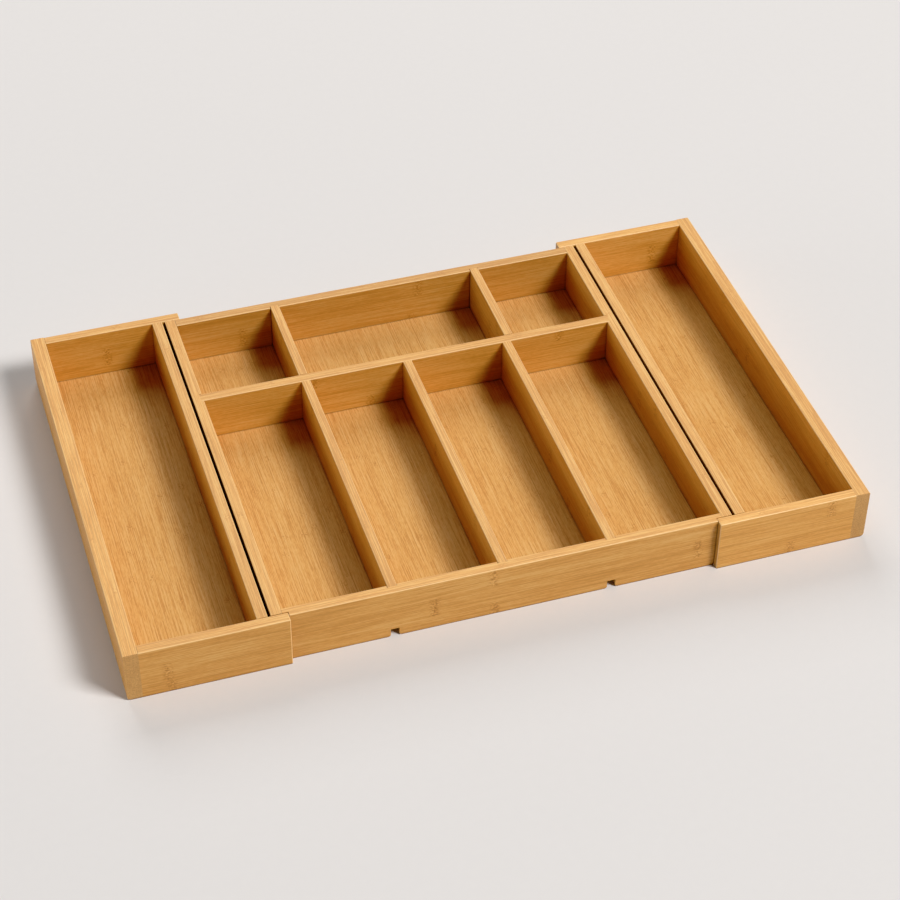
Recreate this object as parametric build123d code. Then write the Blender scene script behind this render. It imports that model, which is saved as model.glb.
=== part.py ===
from build123d import *
import os

os.makedirs("parts", exist_ok=True)

# A bamboo cutlery tray in three sections: a fixed centre tray with seven compartments,
# and a bin at each end that slides outwards on its own floor, which runs in under the centre.
# X is the long way of the tray, Y goes from its front to its back, Z is up from the surface.

# Heights and boards
tray_height = 50.0
wall_thickness = 9.2
divider_thickness = 8.0
outer_board_thickness = 12.5
floor_thickness = 3.0
floor_lift = 0.5
edge_round = 1.0
outer_bottom_round = 3.6

# Centre tray
centre_width = 394.6
centre_depth = 393.8
long_compartment_depth = 266.2
side_compartment_width = 88.0
middle_compartment_width = 85.6
dado_depth = 2.5
dado_play = 0.5
floor_groove_depth = 4.0

# End bins
bin_clear_width = 97.2
slot_width = 2.4
lap_length = 14.0
front_rebate_depth = 4.0
running_clearance = 0.3

# Slider under the centre: the bin's floor carried on inwards, with a tab at each corner
slider_length = 72.0
slider_travel = 10.0
tab_length = 14.0
tab_reach = 3.4
tab_thickness = 1.6
tab_corner_round = 1.0

# Notches in the foot of the centre's front wall
notch_width = 7.3
notch_height = 8.2
notch_foot_round = 2.4

# Every cut runs this far past the face that it leaves
cut_overrun = 1.0

# Levels
slider_top = floor_lift + floor_thickness
centre_floor_low = slider_top + running_clearance
centre_floor_top = centre_floor_low + floor_thickness
guide_low = slider_top - tab_thickness - running_clearance

# Faces across the width; the left side mirrors the right
centre_side = centre_width / 2
centre_inside = centre_side - wall_thickness
bin_inner_face = centre_side + slot_width
bin_clear_low = bin_inner_face + wall_thickness
bin_clear_high = bin_clear_low + bin_clear_width
bin_outer_face = bin_clear_high + outer_board_thickness
ear_end = centre_side - lap_length
shoulder = ear_end - running_clearance

# Faces from front to back; the bins reach equally far to both sides of the origin
bin_inside_depth = centre_depth - front_rebate_depth + running_clearance * 2
bin_depth = bin_inside_depth + wall_thickness * 2
bin_front = -bin_depth / 2
bin_back = bin_depth / 2
bin_inside_front = bin_front + wall_thickness
bin_inside_back = bin_back - wall_thickness
centre_back = bin_inside_back - running_clearance
centre_front = centre_back - centre_depth
centre_inside_front = centre_front + wall_thickness
centre_inside_back = centre_back - wall_thickness
side_wall_front = centre_front + front_rebate_depth
cross_front = centre_inside_front + long_compartment_depth
cross_back = cross_front + wall_thickness

# Left faces of the dividers
divider_pitch = middle_compartment_width + divider_thickness
front_divider_left_face = -centre_inside + side_compartment_width
front_divider_faces = {
    "front_divider_left": front_divider_left_face,
    "front_divider_middle": front_divider_left_face + divider_pitch,
    "front_divider_right": front_divider_left_face + divider_pitch * 2,
}
back_divider_faces = {
    "back_divider_left": -centre_inside + side_compartment_width,
    "back_divider_right": centre_inside - side_compartment_width - divider_thickness,
}
notched_dividers = ("front_divider_left", "front_divider_right")


def block(low, high):
    """A straight block between its lowest and its highest corner."""
    size = [b - a for a, b in zip(low, high)]
    middle = [(a + b) / 2 for a, b in zip(low, high)]
    return Pos(*middle) * Box(*size)


def top_edges(board, along):
    """The two long upper edges of a board."""
    return board.edges().filter_by(along).group_by(Axis.Z)[-1]


def end_edges(board, face_axis, side):
    """The edges round one end face of a board."""
    return board.faces().sort_by(face_axis)[side].edges()


def eased_board(low, high, along):
    """A board with its two long upper edges rounded by sanding."""
    board = block(low, high)
    return fillet(top_edges(board, along), edge_round)


def centre_floor_panel():
    """The centre's floor, let into all four walls."""
    reach_x = centre_inside + floor_groove_depth
    return block(
        (-reach_x, centre_inside_front - floor_groove_depth, centre_floor_low),
        (reach_x, centre_inside_back + floor_groove_depth, centre_floor_top),
    )


def divider_block(left_face, front, back):
    """A divider that stands on the centre's floor."""
    return eased_board(
        (left_face, front, centre_floor_top),
        (left_face + divider_thickness, back, tray_height),
        Axis.Y,
    )


def front_dividers():
    """Three long dividers, each let into the front wall and butted to the cross divider."""
    return {
        name: divider_block(face, centre_inside_front - dado_depth, cross_front)
        for name, face in front_divider_faces.items()
    }


def back_dividers():
    """Two short dividers, butted to the cross divider and let into the back wall."""
    return {
        name: divider_block(face, cross_back, centre_inside_back + dado_depth)
        for name, face in back_divider_faces.items()
    }


def cross_divider():
    """The divider across the centre, let into both side walls."""
    reach = centre_inside + dado_depth
    return eased_board(
        (-reach, cross_front, centre_floor_top),
        (reach, cross_back, tray_height),
        Axis.X,
    )


def dado(left_face, y_low, y_high):
    """The upright groove that holds the end of a divider, with a little play at the divider's left."""
    return block(
        (left_face - dado_play, y_low, centre_floor_top),
        (left_face + divider_thickness, y_high, tray_height + cut_overrun),
    )


def side_wall(outer_x, inner_x):
    """A side wall of the centre, raised so that a slider passes under it."""
    low_x, high_x = sorted((outer_x, inner_x))
    wall = eased_board(
        (low_x, side_wall_front, centre_floor_low),
        (high_x, centre_back, tray_height),
        Axis.Y,
    )
    return wall - centre_floor_panel() - cross_divider_seat()


def cross_divider_seat():
    """The shallow grooves in the side walls for the cross divider, with a little play in front of it."""
    reach = centre_inside + dado_depth
    return block(
        (-reach, cross_front - dado_play, centre_floor_top),
        (reach, cross_back, tray_height + cut_overrun),
    )


def slider_guides():
    """The long groove in the front and back walls in which the sliders' tabs run to their stops."""
    stop = centre_side - slider_length + tab_length + slider_travel + running_clearance
    return block(
        (-stop, centre_inside_front - floor_groove_depth, guide_low),
        (stop, centre_inside_back + floor_groove_depth, centre_floor_low),
    )


def notch(middle_x):
    """A square notch through the foot of the front wall, its mouth eased where it meets the foot."""
    half = notch_width / 2
    flare = half + notch_foot_round
    outline = Polyline(
        (-flare, 0), (-flare, -cut_overrun), (flare, -cut_overrun), (flare, 0)
    )
    outline += RadiusArc((flare, 0), (half, notch_foot_round), notch_foot_round)
    outline += Polyline(
        (half, notch_foot_round), (half, notch_height), (-half, notch_height), (-half, notch_foot_round)
    )
    outline += RadiusArc((-half, notch_foot_round), (-flare, 0), notch_foot_round)
    face = Plane.XZ.offset(-centre_inside_front - cut_overrun) * make_face(outline)
    return Pos(middle_x, 0, 0) * extrude(face, wall_thickness + cut_overrun * 2)


def centre_front_wall():
    """The front wall: it stands proud of the side walls, and its ends are thinned for the bins' ears."""
    wall = eased_board(
        (-centre_inside, centre_front, 0),
        (centre_inside, centre_inside_front, tray_height),
        Axis.X,
    )
    for side in (-1, 1):
        low_x, high_x = sorted((side * shoulder, side * (centre_inside + cut_overrun)))
        wall -= block(
            (low_x, centre_front - cut_overrun, -cut_overrun),
            (high_x, side_wall_front, tray_height + cut_overrun),
        )
    for face in front_divider_faces.values():
        wall -= dado(face, centre_inside_front - dado_depth, centre_inside_front + cut_overrun)
    for name in notched_dividers:
        wall -= notch(front_divider_faces[name] + divider_thickness / 2)
    return wall - centre_floor_panel() - slider_guides()


def centre_back_wall():
    """The back wall, between the side walls and flush with their ends."""
    wall = eased_board(
        (-centre_inside, centre_inside_back, 0),
        (centre_inside, centre_back, tray_height),
        Axis.X,
    )
    for face in back_divider_faces.values():
        wall -= dado(face, centre_inside_back - cut_overrun, centre_inside_back + dado_depth)
    return wall - centre_floor_panel() - slider_guides()


def bin_floor():
    """The right bin's floor, carried on under the centre as a slider with a tab at each corner."""
    panel = block(
        (bin_inner_face, bin_inside_front - floor_groove_depth, floor_lift),
        (bin_clear_high + floor_groove_depth, bin_inside_back + floor_groove_depth, slider_top),
    )
    slider_end = centre_side - slider_length
    slider = block(
        (slider_end, centre_inside_front + running_clearance, floor_lift),
        (bin_inner_face, centre_inside_back - running_clearance, slider_top),
    )
    tabs = block(
        (slider_end, centre_inside_front - tab_reach, slider_top - tab_thickness),
        (slider_end + tab_length, centre_inside_back + tab_reach, slider_top),
    )
    tabs = fillet(tabs.edges().filter_by(Axis.Z), tab_corner_round)
    return panel + slider + tabs


def bin_outer_board():
    """The right bin's thick outer board, which covers the ends of its front and back boards."""
    board = block((bin_clear_high, bin_front, 0), (bin_outer_face, bin_back, tray_height))
    lower = board.edges().filter_by(Axis.Y).sort_by(Axis.Z)[:2].sort_by(Axis.X)[-1]
    board = fillet(lower, outer_bottom_round)
    upper = board.edges().filter_by(Axis.Y).group_by(Axis.Z)[-1]
    board = fillet(upper, edge_round)
    return board


def bin_end_board(y_low, y_high):
    """A front or back board of the right bin, which runs past the inner wall as an ear."""
    board = block((ear_end, y_low, 0), (bin_clear_high, y_high, tray_height))
    edges = top_edges(board, Axis.X) + end_edges(board, Axis.X, 0)
    return fillet(edges, edge_round)


def bin_inner_wall():
    """The right bin's inner wall, which stands on the bin's floor beside the slot."""
    return eased_board(
        (bin_inner_face, bin_inside_front, slider_top),
        (bin_clear_low, bin_inside_back, tray_height),
        Axis.Y,
    )


def right_bin():
    """The five pieces of the right bin, with the floor let into three of its boards."""
    floor_panel = bin_floor()
    groove = block(
        (bin_inner_face, bin_inside_front - floor_groove_depth, floor_lift),
        (bin_clear_high + floor_groove_depth, bin_inside_back + floor_groove_depth, slider_top),
    )
    return {
        "outer_board": bin_outer_board() - groove,
        "front_board": bin_end_board(bin_front, bin_inside_front) - groove,
        "back_board": bin_end_board(bin_inside_back, bin_back) - groove,
        "inner_wall": bin_inner_wall(),
        "floor": floor_panel,
    }


def tray():
    """Every piece of the tray under its own name."""
    pieces = {
        "centre_floor": centre_floor_panel(),
        "centre_left_wall": side_wall(-centre_side, -centre_inside),
        "centre_right_wall": side_wall(centre_side, centre_inside),
        "centre_front_wall": centre_front_wall(),
        "centre_back_wall": centre_back_wall(),
        "cross_divider": cross_divider(),
    }
    pieces.update(front_dividers())
    pieces.update(back_dividers())
    for name, piece in right_bin().items():
        pieces["right_bin_" + name] = piece
        pieces["left_bin_" + name] = mirror(piece, about=Plane.YZ)
    return pieces


for name, piece in tray().items():
    export_step(piece, "parts/" + name + ".step")
print("overall", bin_outer_face * 2, bin_depth, tray_height)
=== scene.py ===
import math

import bpy
from mathutils import Matrix, Vector


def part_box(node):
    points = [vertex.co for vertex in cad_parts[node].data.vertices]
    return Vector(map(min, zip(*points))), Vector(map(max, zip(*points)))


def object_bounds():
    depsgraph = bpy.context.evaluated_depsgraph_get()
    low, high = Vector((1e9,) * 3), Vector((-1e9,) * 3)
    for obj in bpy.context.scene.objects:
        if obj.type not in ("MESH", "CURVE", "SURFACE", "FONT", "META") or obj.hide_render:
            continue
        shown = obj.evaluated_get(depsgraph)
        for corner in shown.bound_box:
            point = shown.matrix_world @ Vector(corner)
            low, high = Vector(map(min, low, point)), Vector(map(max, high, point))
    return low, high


# A bamboo cutlery tray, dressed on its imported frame. Lengths are in metres, and the sizes of
# strips and grain are in millimetres, as a maker gives them.

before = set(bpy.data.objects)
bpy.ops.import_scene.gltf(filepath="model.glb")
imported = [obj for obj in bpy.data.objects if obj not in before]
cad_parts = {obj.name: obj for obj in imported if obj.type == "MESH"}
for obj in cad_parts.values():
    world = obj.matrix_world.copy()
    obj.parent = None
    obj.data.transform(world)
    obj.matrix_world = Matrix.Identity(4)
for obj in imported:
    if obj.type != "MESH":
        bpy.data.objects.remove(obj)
cad_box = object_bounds()
foot_level = cad_box[0][2]
rim_level = cad_box[1][2]
MM_PER_METRE = 1000.0

# View
scene = bpy.context.scene
scene.view_settings.view_transform = "Standard"
scene.view_settings.look = "None"

# The photograph's tone curve has a toe: light below a tenth of white is printed darker, which takes
# the blue out of deep shadows and leaves them brown. Each pair is a level before it and after it.
TOE = (
    (0.010, 0.0035),
    (0.020, 0.010),
    (0.030, 0.020),
    (0.045, 0.038),
    (0.070, 0.067),
    (0.100, 0.100),
)
# The place of the curve that holds for red, green and blue alike
ALL_COLOURS = 3
scene.view_settings.use_curve_mapping = True
tone_curve = scene.view_settings.curve_mapping
for before, after in TOE:
    tone_curve.curves[ALL_COLOURS].points.new(before, after).handle_type = "VECTOR"
tone_curve.update()


def linear(hex_code):
    """An sRGB hex colour as linear red, green, blue and alpha."""
    parts = [int(hex_code[i:i + 2], 16) / 255 for i in (1, 3, 5)]
    parts = [c / 12.92 if c <= 0.04045 else ((c + 0.055) / 1.055) ** 2.4 for c in parts]
    return (*parts, 1.0)


def add(tree, kind, inputs=None, **settings):
    """Adds a node; each input takes a value, or a link from another node's output."""
    node = tree.nodes.new(kind)
    for name, value in settings.items():
        setattr(node, name, value)
    for socket, value in (inputs or {}).items():
        if isinstance(value, bpy.types.NodeSocket):
            tree.links.new(value, node.inputs[socket])
        else:
            node.inputs[socket].default_value = value
    return node


# A Mix node's sockets for colours, which share their names with its other sockets
COLOUR_A, COLOUR_B, MIXED_COLOUR = 6, 7, 2

# Bamboo

# Colours of the pressed strips on a scale of tone from 0 to 1, from the darkest fibres to the
# palest. The floors' thin panels were steamed less, so they are a little paler.
STEAMED = ((0.0, "#CF923E"), (0.35, "#DFA048"), (0.65, "#E8AD57"), (1.0, "#EFBB69"))
LIGHTLY_STEAMED = ((0.0, "#D19750"), (0.35, "#E5AD60"), (0.65, "#EDBA6D"), (1.0, "#F3C780"))

# Colours of what lies over the wood, of the wood that sanding and sawing laid bare, and of painted
# light and shade
SCAR = "#97591F"
GLUE_AND_LACQUER = "#8E5524"
INNER_FIBRES_AND_TOP_LIGHT = "#735550"
CUT_FIBRES = ("#8A5F31", "#D8A661")
SLOT_PAINTED_SHADE = "#4A2C14"
ARRIS_SANDING_AND_HIGHLIGHT = "#F7D092"
JOINT_AND_PAINTED_SHADE = "#4C260A"

# How each kind of board was pressed. "strip" is the width of its strips and "ply" the thickness of
# its plies. Then how strongly its tone changes with the pores, fibres, streaks and bands of the
# grain, from strip to strip ("tone"), with dark veins, with the marks of a node of the culm, and
# with the lines of the plies on an upper edge. "joint_and_shade" is how dark its joints are, with
# the painted shade in its inside corners. Boards that stand are flat-pressed, so wide calm strips
# with node marks show on their faces.
FLAT_PRESSED = {
    "stands": True, "colours": STEAMED,
    "pore": 0.90, "fibre": 2.2, "streak": 0.60, "band": 0.95, "joint_and_shade": 0.4,
}
WALLS = {
    **FLAT_PRESSED, "strip": 19.5, "ply": 4.6,
    "tone": 0.20, "vein": 0.35, "mark": 3.0, "lines": 1.6,
}
DIVIDERS = {
    **FLAT_PRESSED, "strip": 17.0, "ply": 2.7,
    "tone": 0.18, "vein": 0.30, "mark": 2.6, "lines": 2.4,
}
OUTER_BOARDS = {
    **FLAT_PRESSED, "strip": 21.0, "ply": 3.1,
    "tone": 0.18, "vein": 0.30, "mark": 2.6, "lines": 1.6,
}
# Floors are edge-pressed, so their faces show many fine parallel lines
FLOORS = {
    "stands": False, "colours": LIGHTLY_STEAMED, "strip": 5.4, "ply": 3.0,
    "pore": 1.20, "fibre": 2.8, "streak": 0.22, "band": 0.35, "joint_and_shade": 0.6,
    "tone": 0.06, "vein": 0.45, "mark": 1.4,
}
TONED_BY = ("pore", "fibre", "streak", "band", "tone")

# Grain: its length along the fibres, its width, and how many finer sizes are mixed in. Pores,
# fibre bundles and veins are 0.2 to 0.4 mm wide in fact, and drawn wider so that they show.
# Streaks are groups of fibres, bands the slow change of colour over a strip, veins single dark
# fibres, and dashes the jagged scars of a node.
GRAIN = {
    "pore": (5.0, 0.8, 1.0),
    "fibre": (48.0, 0.7, 2.0),
    "streak": (65.0, 3.0, 2.0),
    "band": (150.0, 13.0, 1.0),
    "vein": (90.0, 1.2, 1.0),
    "dash": (2.0, 1.3, 1.0),
}

# Where in the grain's noise a pattern starts and where it is full
VEIN_LEVELS = (0.42, 0.30)
DEEP_SCAR_LEVELS = (0.47, 0.36)

# Near a node, dashes below this level of their noise are darker scars and those above it paler
SCAR_LEVEL = 0.58

# The noises and tones run from 0 to 1 about this middle
MIDDLE = 0.5

# A node of the culm comes once in this length of a strip, and its scars reach this far
NODE_SPACING = 230.0
NODE_REACH = 6.5

# Each board is cut this much further on in the bamboo than the one before it
NEXT_CUT = (173.0, 31.0, 57.0)

# Shares of a strip and of a ply that are sawn away at a board's low corner. With half a ply gone,
# no face of a board lies where two plies meet.
SAWN_STRIP = 0.37
SAWN_PLY = 0.5

# Glue lines are 0.1 mm wide in fact, and drawn wider so that they show
GLUE_WIDTH = 0.4

# The specks of cut fibres on an end
SPECK_SIZE = 1.1

# How much finer sizes of grain add to the coarser ones
FINER_GRAIN = 0.6

# Satin lacquer over fibres from the darkest to the palest: where in their noise its roughness
# changes, and from what to what. Then how far it shows their relief, and the relief in metres.
LACQUER_IOR = 1.5
LACQUER_LEVELS = (0.3, 0.7)
LACQUER_ROUGHNESS = (0.52, 0.42)
RELIEF_SHOWN = 0.25
RELIEF_HEIGHT = 0.0002

# How far the surface has to face a direction, as a cosine, for a finish, or the painted light on upper
# edges, to start and to be full
UPWARD = (0.6, 0.95)
ENDWISE = (0.8, 0.95)
BROADWISE = 0.9

# The same for an arris, as the sum of the fourth powers of the direction that the surface faces,
# which is 1 on a flat face and a half midway round an arris
ARRIS = (0.95, 0.55)

# How strongly a finish, a painted shade or a painted highlight covers the wood where it is
# full. That of the deep scars is for each unit of a board's "mark".
DEEP_SCAR_STRENGTH = 0.17
GLUE_STRENGTH = 0.25
END_STRENGTH = 0.75
SLOT_SHADE_STRENGTH = 0.7
ARRIS_STRENGTH = 0.8
FOOT_STRENGTH = 0.65

# Heights in metres where a painted shade starts and where it is full
SLOT_SHADE_HEIGHTS = (rim_level - 0.0010, rim_level - 0.0020)
CORNER_HEIGHTS = (rim_level - 0.0013, rim_level - 0.0022)
FOOT_HEIGHTS = (foot_level + 0.0013, foot_level + 0.0004)

# How far from another board the dark joint and its painted shade reach, in metres, and how open
# the corner is to the air where that painted shade is full and where it ends
CORNER_REACH = 0.0022
CORNER_OPENNESS = (0.45, 0.9)


def sawn_board(tree, axes, seed):
    """Where a point lies in its board, and which way the surface faces there.

    The place is in millimetres along the fibres, across the strips and through the plies, and
    "bamboo" is the same place in the bamboo that the board was cut from.
    """
    texture = add(tree, "ShaderNodeTexCoord")
    split = add(tree, "ShaderNodeSeparateXYZ", {0: texture.outputs["Object"]})
    turned = add(tree, "ShaderNodeCombineXYZ", {i: split.outputs[a] for i, a in enumerate(axes)})
    place = add(tree, "ShaderNodeVectorMath", {
        0: turned.outputs[0], 1: (MM_PER_METRE,) * 3,
    }, operation="MULTIPLY")
    bamboo = add(tree, "ShaderNodeVectorMath", {
        0: place.outputs[0], 1: [seed * cut for cut in NEXT_CUT],
    })
    facing = add(tree, "ShaderNodeSeparateXYZ", {0: texture.outputs["Normal"]})
    upward = add(tree, "ShaderNodeMapRange", {
        "Value": facing.outputs["Z"], "From Min": UPWARD[0], "From Max": UPWARD[1],
    })
    endwise = add(tree, "ShaderNodeMath", {0: facing.outputs[axes[0]]}, operation="ABSOLUTE")
    broadwise = add(tree, "ShaderNodeMath", {0: facing.outputs[axes[2]]}, operation="ABSOLUTE")
    return {
        "place": place.outputs[0],
        "bamboo": bamboo.outputs[0],
        "height": split.outputs["Z"],
        "normal": texture.outputs["Normal"],
        "sideways": facing.outputs["X"],
        "upward": upward.outputs[0],
        "endwise": endwise.outputs[0],
        "broadwise": broadwise.outputs[0],
    }


def glued_strips(tree, board, press, axes, low_corner, seed):
    """The strips and plies of a board as cells, numbered by board, strip and ply.

    Each cell has its own tone and its own shift of the culm's nodes, and each point its share of
    the way across its strip and through its ply.
    """
    low = [MM_PER_METRE * low_corner["XYZ".index(a)] for a in axes]
    # A board's number stands in the middle of its cells, clear of their edges
    cells = add(tree, "ShaderNodeVectorMath", {
        0: board["place"],
        1: (0.0, 1 / press["strip"], 1 / press["ply"]),
        2: (seed + MIDDLE, SAWN_STRIP - low[1] / press["strip"], SAWN_PLY - low[2] / press["ply"]),
    }, operation="MULTIPLY_ADD")
    cell = add(tree, "ShaderNodeVectorMath", {0: cells.outputs[0]}, operation="FLOOR")
    chance = add(tree, "ShaderNodeTexWhiteNoise", {"Vector": cell.outputs[0]}, noise_dimensions="3D")
    chances = add(tree, "ShaderNodeSeparateXYZ", {0: chance.outputs["Color"]})
    shares = add(tree, "ShaderNodeVectorMath", {0: cells.outputs[0]}, operation="FRACTION")
    inside = add(tree, "ShaderNodeSeparateXYZ", {0: shares.outputs[0]})
    return {
        "tone": chances.outputs["X"],
        "shift": chances.outputs["Y"],
        "across": inside.outputs["Y"],
        "through": inside.outputs["Z"],
    }


def grown_grain(tree, board):
    """A noise for each part of the grain, stretched along the fibres."""
    grain = {}
    for part, (length, width, detail) in GRAIN.items():
        stretched = add(tree, "ShaderNodeVectorMath", {
            0: board["bamboo"], 1: (1 / length, 1 / width, 1 / width),
        }, operation="MULTIPLY")
        grain[part] = add(tree, "ShaderNodeTexNoise", {
            "Vector": stretched.outputs[0], "Scale": 1.0, "Detail": detail,
            "Roughness": FINER_GRAIN,
        }).outputs[0]
    return grain


def near_culm_node(tree, board, strips):
    """How near a point is to a node of the culm, which comes at another place in each strip."""
    along = add(tree, "ShaderNodeSeparateXYZ", {0: board["place"]})
    passed = add(tree, "ShaderNodeMath", {
        0: along.outputs["X"], 1: 1 / NODE_SPACING, 2: strips["shift"],
    }, operation="MULTIPLY_ADD")
    share = add(tree, "ShaderNodeMath", {0: passed.outputs[0]}, operation="FRACT")
    away = add(tree, "ShaderNodeMath", {0: share.outputs[0], 1: MIDDLE}, operation="SUBTRACT")
    away = add(tree, "ShaderNodeMath", {0: away.outputs[0]}, operation="ABSOLUTE")
    near = add(tree, "ShaderNodeMapRange", {
        "Value": away.outputs[0], "From Min": NODE_REACH / NODE_SPACING, "From Max": 0.0,
    }, interpolation_type="SMOOTHSTEP")
    return near.outputs[0]


def wood_tone(tree, press, board, strips, grain, near_node):
    """The tone of the wood, from 0 for the darkest to 1 for the palest."""
    patterns = {**grain, "tone": strips["tone"]}
    # Patterns at their middle leave the tone at its own
    tone = MIDDLE - MIDDLE * sum(press[part] for part in TONED_BY)
    for part in TONED_BY:
        tone = add(tree, "ShaderNodeMath", {
            0: patterns[part], 1: press[part], 2: tone,
        }, operation="MULTIPLY_ADD").outputs[0]
    veins = add(tree, "ShaderNodeMapRange", {
        "Value": grain["vein"], "From Min": VEIN_LEVELS[0], "From Max": VEIN_LEVELS[1],
        "To Max": press["vein"],
    }, interpolation_type="SMOOTHSTEP")
    tone = add(tree, "ShaderNodeMath", {0: tone, 1: veins.outputs[0]}, operation="SUBTRACT").outputs[0]
    if press["stands"]:
        # On upper edges the plies' cut fibres draw stronger lines
        lines = add(tree, "ShaderNodeMath", {
            0: grain["fibre"], 1: press["lines"], 2: -MIDDLE * press["lines"],
        }, operation="MULTIPLY_ADD")
        tone = add(tree, "ShaderNodeMath", {
            0: lines.outputs[0], 1: board["upward"], 2: tone,
        }, operation="MULTIPLY_ADD").outputs[0]
    scars = add(tree, "ShaderNodeMath", {
        0: grain["dash"], 1: press["mark"], 2: -SCAR_LEVEL * press["mark"],
    }, operation="MULTIPLY_ADD")
    return add(tree, "ShaderNodeMath", {
        0: scars.outputs[0], 1: near_node, 2: tone,
    }, operation="MULTIPLY_ADD").outputs[0]


def steamed_colour(tree, press, shade, tone):
    """The colour that steaming gave each tone of the wood."""
    scale = add(tree, "ShaderNodeValToRGB", {0: tone})
    stops = scale.color_ramp.elements
    while len(stops) < len(press["colours"]):
        stops.new(MIDDLE)
    for stop, (position, hex_code) in zip(stops, press["colours"]):
        stop.position = position
        # The board's shade scales its colours; it is partly its own tone and partly painted light
        stop.color = [shade * c for c in linear(hex_code)[:3]] + [1.0]
    return scale.outputs["Color"]


def deep_scars(tree, press, board, grain, near_node):
    """The deepest of a node's jagged scars are brown, but are sanded away on upper edges."""
    scars = add(tree, "ShaderNodeMapRange", {
        "Value": grain["dash"], "From Min": DEEP_SCAR_LEVELS[0], "From Max": DEEP_SCAR_LEVELS[1],
        "To Max": DEEP_SCAR_STRENGTH * press["mark"],
    })
    scars = add(tree, "ShaderNodeMath", {0: scars.outputs[0], 1: near_node}, operation="MULTIPLY")
    if press["stands"]:
        unsanded = add(tree, "ShaderNodeMath", {0: 1.0, 1: board["upward"]}, operation="SUBTRACT")
        scars = add(tree, "ShaderNodeMath", {
            0: scars.outputs[0], 1: unsanded.outputs[0],
        }, operation="MULTIPLY")
    return scars.outputs[0]


def glue_and_lacquer(tree, press, board, strips):
    """Faint glue lines between strips, and lacquer as dark as they are on the broad faces."""
    across = add(tree, "ShaderNodeMath", {
        0: strips["across"], 1: GLUE_WIDTH / press["strip"],
    }, operation="LESS_THAN")
    through = add(tree, "ShaderNodeMath", {
        0: strips["through"], 1: GLUE_WIDTH / press["ply"],
    }, operation="LESS_THAN")
    glue = add(tree, "ShaderNodeMath", {
        0: across.outputs[0], 1: through.outputs[0],
    }, operation="MAXIMUM")
    broad = add(tree, "ShaderNodeMath", {
        0: board["broadwise"], 1: BROADWISE,
    }, operation="GREATER_THAN")
    dark = add(tree, "ShaderNodeMath", {0: glue.outputs[0], 1: broad.outputs[0]}, operation="MAXIMUM")
    dark = add(tree, "ShaderNodeMath", {0: dark.outputs[0], 1: GLUE_STRENGTH}, operation="MULTIPLY")
    return dark.outputs[0]


def cut_ends(tree, board):
    """How much of an end shows, and its colour: the cut fibres are brown specks."""
    end = add(tree, "ShaderNodeMapRange", {
        "Value": board["endwise"], "From Min": ENDWISE[0], "From Max": ENDWISE[1],
        "To Max": END_STRENGTH,
    })
    place = add(tree, "ShaderNodeVectorMath", {
        0: board["bamboo"], 1: (1 / SPECK_SIZE,) * 3,
    }, operation="MULTIPLY")
    specks = add(tree, "ShaderNodeTexNoise", {
        "Vector": place.outputs[0], "Scale": 1.0, "Detail": 2.0,
    })
    fibres = add(tree, "ShaderNodeMix", {
        0: specks.outputs[0], COLOUR_A: linear(CUT_FIBRES[0]), COLOUR_B: linear(CUT_FIBRES[1]),
    }, data_type="RGBA")
    return end.outputs[0], fibres.outputs[MIXED_COLOUR]


def painted_slot_shade(tree, board, slot_side):
    """Painted shade on the faces in the slots beside the bins, dark from just below the rim down.

    The slot is on the side that this face looks to: 1 for the right, -1 for the left.
    """
    slotward = add(tree, "ShaderNodeMath", {
        0: board["sideways"], 1: SLOT_SHADE_STRENGTH * slot_side,
    }, operation="MULTIPLY", use_clamp=True)
    deep = add(tree, "ShaderNodeMapRange", {
        "Value": board["height"],
        "From Min": SLOT_SHADE_HEIGHTS[0], "From Max": SLOT_SHADE_HEIGHTS[1],
    })
    shaded = add(tree, "ShaderNodeMath", {
        0: slotward.outputs[0], 1: deep.outputs[0],
    }, operation="MULTIPLY")
    return shaded.outputs[0]


def arris_sanding_and_highlight(tree, board):
    """Arrises are painted pale, partly as sanded fibre and partly as a painted highlight: there the
    surface faces between two of the board's axes.
    """
    squares = add(tree, "ShaderNodeVectorMath", {
        0: board["normal"], 1: board["normal"],
    }, operation="MULTIPLY")
    fourths = add(tree, "ShaderNodeVectorMath", {
        0: squares.outputs[0], 1: squares.outputs[0],
    }, operation="DOT_PRODUCT")
    arris = add(tree, "ShaderNodeMapRange", {
        "Value": fourths.outputs["Value"], "From Min": ARRIS[0], "From Max": ARRIS[1],
        "To Max": ARRIS_STRENGTH,
    })
    return arris.outputs[0]


def joints_and_painted_shade(tree, press, board):
    """Dark glue joints with painted shade in the last millimetres before another board, and painted
    shadow along a board's foot.

    There is none on the rim, which was sanded flush.
    """
    air = add(tree, "ShaderNodeAmbientOcclusion", {"Distance": CORNER_REACH}, samples=8)
    corner = add(tree, "ShaderNodeMapRange", {
        "Value": air.outputs["AO"], "From Min": CORNER_OPENNESS[0], "From Max": CORNER_OPENNESS[1],
        "To Min": press["joint_and_shade"], "To Max": 0.0,
    })
    below = add(tree, "ShaderNodeMapRange", {
        "Value": board["height"], "From Min": CORNER_HEIGHTS[0], "From Max": CORNER_HEIGHTS[1],
    })
    corner = add(tree, "ShaderNodeMath", {
        0: corner.outputs[0], 1: below.outputs[0],
    }, operation="MULTIPLY")
    foot = add(tree, "ShaderNodeMapRange", {
        "Value": board["height"], "From Min": FOOT_HEIGHTS[0], "From Max": FOOT_HEIGHTS[1],
        "To Max": FOOT_STRENGTH,
    })
    joint_and_shade = add(tree, "ShaderNodeMath", {0: corner.outputs[0], 1: foot.outputs[0]}, operation="MAXIMUM")
    return joint_and_shade.outputs[0]


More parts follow.
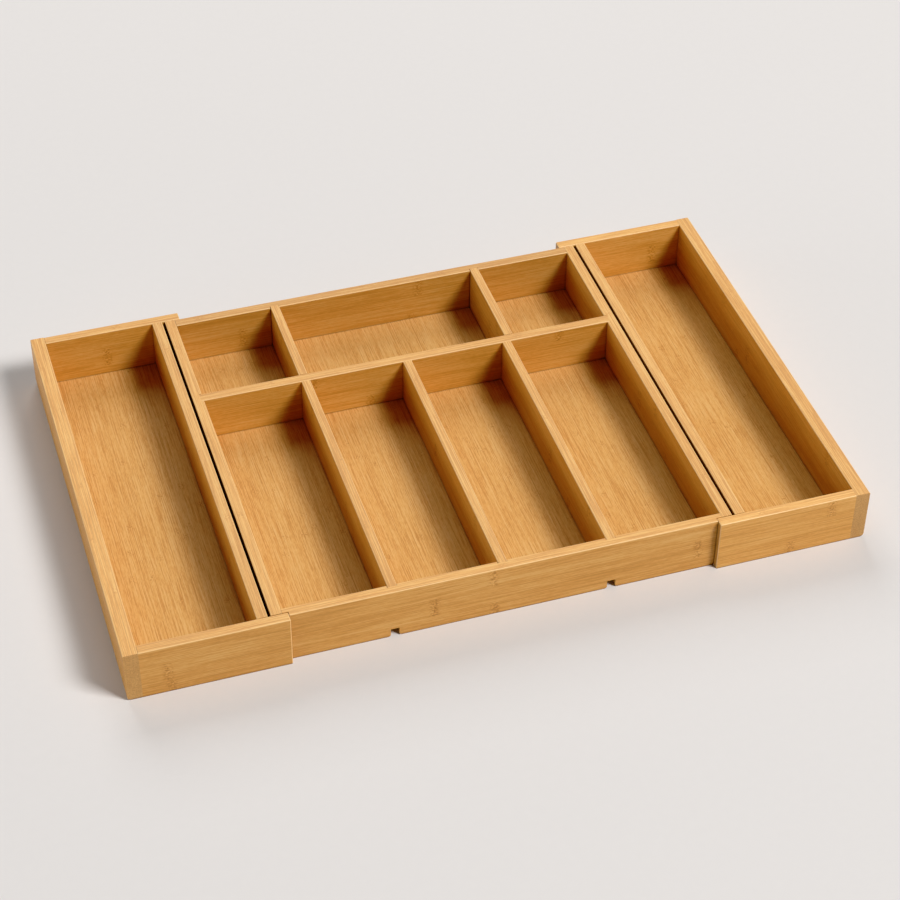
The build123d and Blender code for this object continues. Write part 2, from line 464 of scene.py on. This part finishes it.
def satin_lacquer(tree, colour, grain):
    """Satin lacquer over fine fibres, which it fills unevenly."""
    gloss = add(tree, "ShaderNodeMapRange", {
        "Value": grain["fibre"], "From Min": LACQUER_LEVELS[0], "From Max": LACQUER_LEVELS[1],
        "To Min": LACQUER_ROUGHNESS[0], "To Max": LACQUER_ROUGHNESS[1],
    })
    relief = add(tree, "ShaderNodeBump", {
        "Height": grain["fibre"], "Strength": RELIEF_SHOWN, "Distance": RELIEF_HEIGHT,
    })
    shader = add(tree, "ShaderNodeBsdfPrincipled", {
        "Base Color": colour, "Roughness": gloss.outputs[0], "IOR": LACQUER_IOR,
        "Normal": relief.outputs[0],
    })
    add(tree, "ShaderNodeOutputMaterial", {0: shader.outputs[0]})


def pressed_bamboo(name, press, shade, axes, low_corner, seed, slot_side):
    """Carbonised moso bamboo, pressed from strips, sanded and satin lacquered.

    To the eye: honey-coloured strips, each in its own tone, fine fibre lines, a patch of short
    jagged marks where the culm had a node, upper edges painted paler with the plies and their glue
    as lines, duller ends with the cut fibres as specks, arrises painted pale as a highlight, painted
    shade in the slots, dark joints with painted shade where boards meet, and painted shadow along
    their feet.
    """
    material = bpy.data.materials.new(name)
    material.use_nodes = True
    tree = material.node_tree
    tree.nodes.clear()
    board = sawn_board(tree, axes, seed)
    strips = glued_strips(tree, board, press, axes, low_corner, seed)
    grain = grown_grain(tree, board)
    near_node = near_culm_node(tree, board, strips)
    tone = wood_tone(tree, press, board, strips, grain, near_node)
    colour = steamed_colour(tree, press, shade, tone)

    # What lies over the steamed wood, painted light and shade among it, from below upwards: where,
    # in which colour, and how it mixes
    layers = [
        (deep_scars(tree, press, board, grain, near_node), linear(SCAR), "MIX"),
        (glue_and_lacquer(tree, press, board, strips), linear(GLUE_AND_LACQUER), "MIX"),
    ]
    if press["stands"]:
        # Upper edges are painted paler: partly the pale inner fibres that sanding reached, partly
        # painted light falling from above
        layers.append((board["upward"], linear(INNER_FIBRES_AND_TOP_LIGHT), "SCREEN"))
    layers.append((*cut_ends(tree, board), "MIX"))
    # The faces in the slots beside the bins get painted shade below the rim
    if slot_side:
        layers.append((painted_slot_shade(tree, board, slot_side), linear(SLOT_PAINTED_SHADE), "MIX"))
    # Arrises: pale sanded fibre and a painted highlight
    layers.append((arris_sanding_and_highlight(tree, board), linear(ARRIS_SANDING_AND_HIGHLIGHT), "MIX"))
    # Dark joints with painted shade in inside corners, and a painted shadow along the foot
    layers.append((joints_and_painted_shade(tree, press, board), linear(JOINT_AND_PAINTED_SHADE), "MIX"))
    for where, tint, blend in layers:
        colour = add(tree, "ShaderNodeMix", {
            0: where, COLOUR_A: colour, COLOUR_B: tint,
        }, data_type="RGBA", blend_type=blend).outputs[MIXED_COLOUR]

    satin_lacquer(tree, colour, grain)
    return material


# How a board lies: its axes along the fibres, across the strips and through the plies
STANDING_DEEP = ("Y", "Z", "X")
STANDING_WIDE = ("X", "Z", "Y")
LYING_DEEP = ("Y", "X", "Z")

# The boards in the order in which they were cut
boards = {
    "centre_floor": (FLOORS, LYING_DEEP),
    "centre_left_wall": (WALLS, STANDING_DEEP),
    "centre_right_wall": (WALLS, STANDING_DEEP),
    "centre_front_wall": (WALLS, STANDING_WIDE),
    "centre_back_wall": (WALLS, STANDING_WIDE),
    "cross_divider": (WALLS, STANDING_WIDE),
    "front_divider_left": (DIVIDERS, STANDING_DEEP),
    "front_divider_middle": (DIVIDERS, STANDING_DEEP),
    "front_divider_right": (DIVIDERS, STANDING_DEEP),
    "back_divider_left": (DIVIDERS, STANDING_DEEP),
    "back_divider_right": (DIVIDERS, STANDING_DEEP),
}
for side in ("left", "right"):
    boards[side + "_bin_outer_board"] = (OUTER_BOARDS, STANDING_DEEP)
    boards[side + "_bin_front_board"] = (WALLS, STANDING_WIDE)
    boards[side + "_bin_back_board"] = (WALLS, STANDING_WIDE)
    boards[side + "_bin_inner_wall"] = (WALLS, STANDING_DEEP)
    boards[side + "_bin_floor"] = (FLOORS, LYING_DEEP)

# Which way a board's face in a slot looks, 1 for the right and -1 for the left; that face gets painted
# shade
slot_faces = {
    "centre_left_wall": -1,
    "left_bin_inner_wall": 1,
    "centre_right_wall": 1,
    "right_bin_inner_wall": -1,
}

# How much paler or darker than the others a board is: partly its own tone, as no two come out of the
# steamer alike, and partly painted light and shade for where it stands in the light, such as the back
# wall in shade
shades = {
    "centre_back_wall": 0.87,
    "centre_front_wall": 1.03,
    "right_bin_front_board": 1.11,
    "right_bin_back_board": 1.07,
    "left_bin_inner_wall": 0.95,
    "left_bin_outer_board": 1.04,
}

for seed, (node, (press, axes)) in enumerate(boards.items(), start=1):
    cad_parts[node].material_slots[0].material = pressed_bamboo(
        "bamboo_" + node, press, shades.get(node, 1.0), axes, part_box(node)[0], seed,
        slot_faces.get(node, 0),
    )

# Stage

# How far the paper reaches to each side, and how wide its clouds are
SWEEP_REACH = 6.0
CLOUD_SIZE = 0.008


def matt_paper():
    """A seamless paper sweep: matt, pale and faintly warm, with the soft cloudiness of pulp."""
    material = bpy.data.materials.new("matt_paper")
    material.use_nodes = True
    tree = material.node_tree
    tree.nodes.clear()
    texture = add(tree, "ShaderNodeTexCoord")
    cloud = add(tree, "ShaderNodeTexNoise", {
        "Vector": texture.outputs["Object"], "Scale": 1 / CLOUD_SIZE, "Detail": 2.0,
    })
    colour = add(tree, "ShaderNodeMix", {
        0: cloud.outputs[0], COLOUR_A: linear("#DEDAD7"), COLOUR_B: linear("#E0DCD9"),
    }, data_type="RGBA")
    shader = add(tree, "ShaderNodeBsdfPrincipled", {
        "Base Color": colour.outputs[MIXED_COLOUR], "Roughness": 0.9, "Specular IOR Level": 0.2,
    })
    add(tree, "ShaderNodeOutputMaterial", {0: shader.outputs[0]})
    return material


sweep_mesh = bpy.data.meshes.new("sweep")
corners = [(x * SWEEP_REACH, y * SWEEP_REACH, 0) for x, y in ((-1, -1), (1, -1), (1, 1), (-1, 1))]
sweep_mesh.from_pydata(corners, [], [(0, 1, 2, 3)])
sweep = bpy.data.objects.new("sweep", sweep_mesh)
sweep_mesh.materials.append(matt_paper())
scene.collection.objects.link(sweep)

# Weak white light from all round
world = bpy.data.worlds.new("studio")
scene.world = world
world.use_nodes = True
background = world.node_tree.nodes["Background"]
background.inputs["Color"].default_value = (1.0, 1.0, 1.0, 1.0)
background.inputs["Strength"].default_value = 0.04


def soft_box(name, place, width, height, watts, shines=True):
    """A lamp behind white cloth, turned towards the tray.

    One that doesn't shine leaves no gloss on the lacquer.
    """
    lamp = bpy.data.lights.new(name, "AREA")
    lamp.shape = "RECTANGLE"
    lamp.size, lamp.size_y, lamp.energy = width, height, watts
    box = bpy.data.objects.new(name, lamp)
    box.visible_glossy = shines
    box.location = place
    box.rotation_mode = "QUATERNION"
    box.rotation_quaternion = Vector(place).to_track_quat("Z", "Y")
    scene.collection.objects.link(box)


# The main light stands high at the front right, and the others lift the shadows behind the tray
# and at its left
soft_box("main_light", (3.97, -3.80, 6.05), width=2.5, height=2.8, watts=655.0)
soft_box("back_light", (0.0, 3.2, 2.6), width=2.5, height=2.5, watts=80.0, shines=False)
soft_box("left_light", (-2.2, 0.0, 0.42), width=3.0, height=0.5, watts=17.0, shines=False)

# Camera at the photograph's viewing angle, for a square picture. Its place, its angles in degrees
# and its lens in millimetres were fitted to the tray's edges in the photograph.
CAMERA_PLACE = (-0.46212, -1.469411, 1.380953)
CAMERA_YAW, CAMERA_PITCH, CAMERA_ROLL = 17.9396, 41.7156, 0.5304
CAMERA_LENS = 93.595
SENSOR_WIDTH = 36.0

camera_data = bpy.data.cameras.new("camera")
camera_data.sensor_width = SENSOR_WIDTH
camera_data.lens = CAMERA_LENS
camera = bpy.data.objects.new("camera", camera_data)
yaw, pitch, roll = (math.radians(a) for a in (CAMERA_YAW, CAMERA_PITCH, CAMERA_ROLL))
forward = Vector((math.sin(yaw) * math.cos(pitch), math.cos(yaw) * math.cos(pitch), -math.sin(pitch)))
right = Vector((math.cos(yaw), -math.sin(yaw), 0.0))
up = right.cross(forward)
turned_right = math.cos(roll) * right + math.sin(roll) * up
turned_up = -math.sin(roll) * right + math.cos(roll) * up
turn = Matrix((turned_right, turned_up, -forward)).transposed().to_4x4()
camera.matrix_world = Matrix.Translation(CAMERA_PLACE) @ turn
scene.collection.objects.link(camera)
scene.camera = camera
